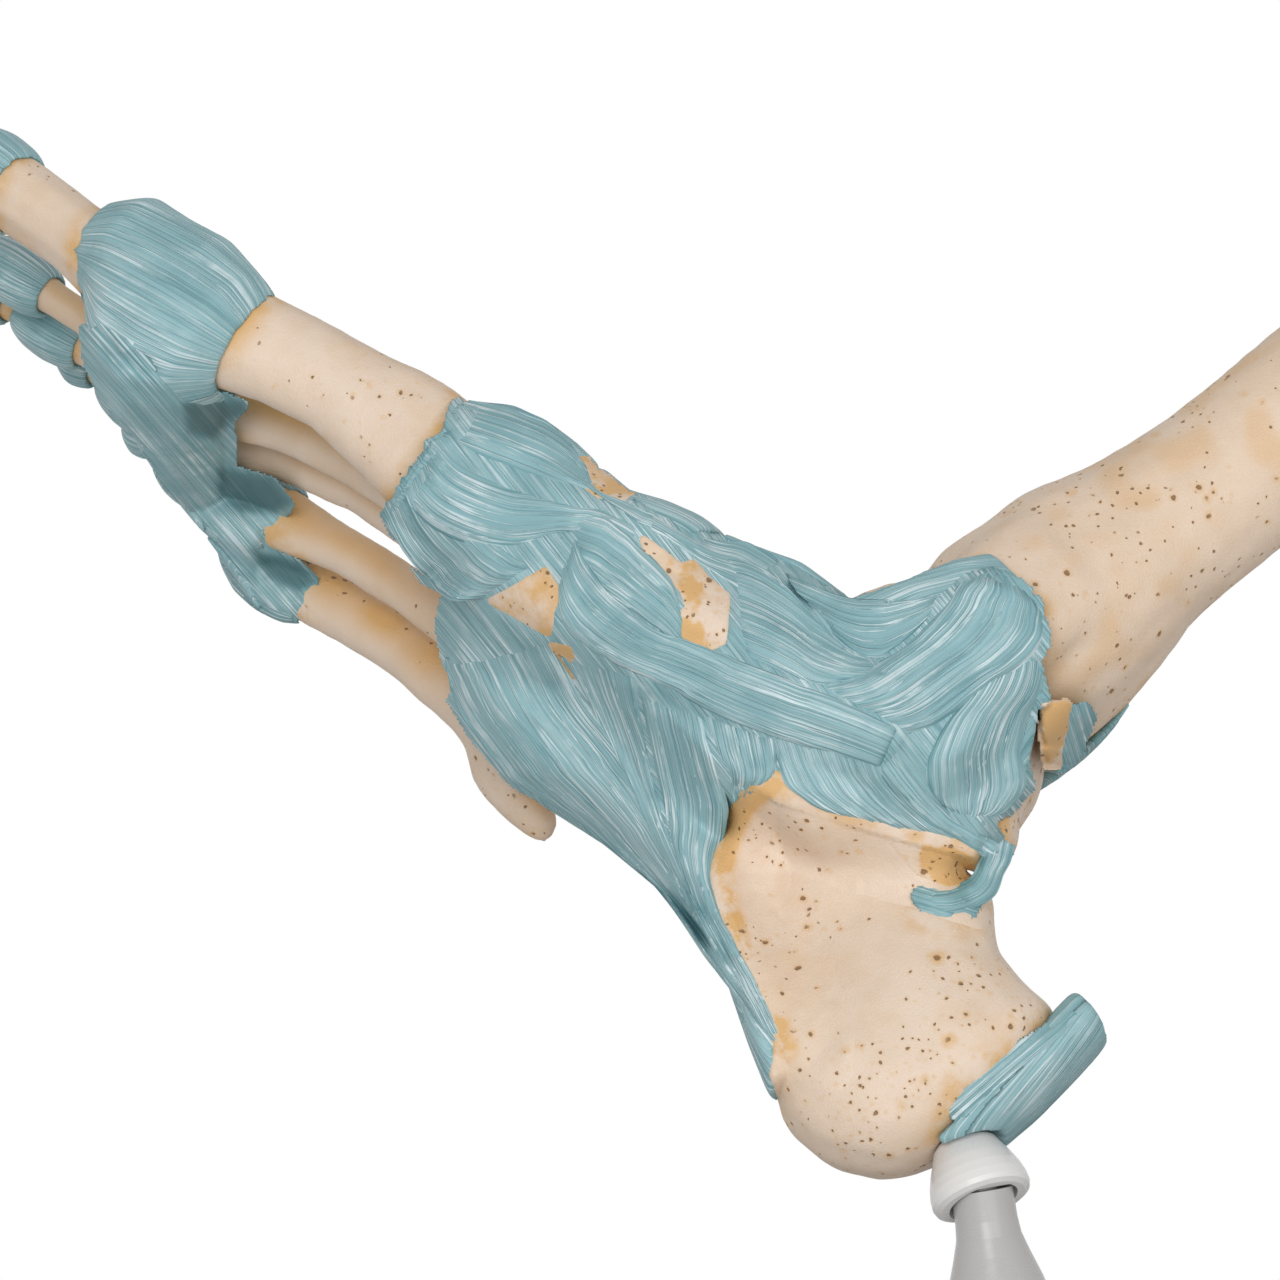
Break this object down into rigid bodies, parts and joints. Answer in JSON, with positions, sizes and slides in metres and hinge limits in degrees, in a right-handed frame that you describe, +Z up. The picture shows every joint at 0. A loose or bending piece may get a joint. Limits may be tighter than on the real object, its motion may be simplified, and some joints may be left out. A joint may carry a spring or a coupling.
{
  "type": "foot and ankle skeleton model",
  "caption": "Anatomical model of a right foot and ankle: separate ivory bones tied by teal ligaments and tendons, held at the heel by a peg on a white turned stand.",
  "frame": {"origin": "centre of the base's rest face, on the axis of the post", "axes": "+Z up along the post; -Y towards the viewer of the picture; toes point to -X and up, leg bones to +X and up"},
  "size_m": [0.2691, 0.2219, 0.3096],
  "materials": {
    "bone": "satin, hand tinted in the recesses",
    "ligament": "satin, with raised fibres",
    "stand": "gloss",
    "steel": "turned",
    "pad": "matt"
  },
  "bodies": {
    "stand": {"base_pad": "pad", "base_plate": "stand", "post": "stand", "post_screw": "steel"},
    "swivel": {"collar": "stand", "heel_peg": "steel"},
    "foot": {"tibia": "bone", "fibula": "bone", "talus": "bone", "calcaneus": "bone", "navicular": "bone", "cuboid": "bone", "medial_cuneiform": "bone", "intermediate_cuneiform": "bone", "lateral_cuneiform": "bone", "metatarsal_1": "bone", "metatarsal_2": "bone", "metatarsal_3": "bone", "metatarsal_4": "bone", "metatarsal_5": "bone", "proximal_phalanx_1": "bone", "proximal_phalanx_2": "bone", "proximal_phalanx_3": "bone", "proximal_phalanx_4": "bone", "proximal_phalanx_5": "bone", "middle_phalanx_2": "bone", "middle_phalanx_3": "bone", "middle_phalanx_4": "bone", "middle_phalanx_5": "bone", "distal_phalanx_1": "bone", "distal_phalanx_2": "bone", "distal_phalanx_3": "bone", "distal_phalanx_4": "bone", "distal_phalanx_5": "bone", "sesamoids": "bone", "achilles_tendon": "ligament", "tibialis_posterior_tendon": "ligament", "deltoid_ligament": "ligament", "posterior_tibiotalar_ligament": "ligament", "spring_ligament": "ligament", "long_plantar_ligament": "ligament", "dorsal_talonavicular_ligament": "ligament", "medial_cuneonavicular_ligament": "ligament", "first_tarsometatarsal_ligament": "ligament", "dorsal_tarsometatarsal_ligament": "ligament", "plantar_tarsometatarsal_ligament": "ligament", "mtp_capsule_1": "ligament", "mtp_capsule_2": "ligament", "mtp_capsule_3": "ligament", "mtp_capsule_4": "ligament", "mtp_capsule_5": "ligament", "transverse_metatarsal_ligament": "ligament", "toe_capsules": "ligament", "short_plantar_ligament": "ligament", "interosseous_membrane": "ligament", "anterior_tibiofibular_ligament": "ligament", "posterior_tibiofibular_ligament": "ligament", "anterior_talofibular_ligament": "ligament", "calcaneofibular_ligament": "ligament"}
  },
  "joints": [
    {"name": "collar_swivel", "type": "hinge", "parent": "stand", "child": "swivel", "pos_m": [0, 0, 0.102], "axis": [0, 0, 1], "continuous": true},
    {"name": "foot_lift", "type": "slide", "parent": "swivel", "child": "foot", "axis": [-0.1582, 0.4254, 0.8911], "range_m": [0, 0.045]}
  ]
}
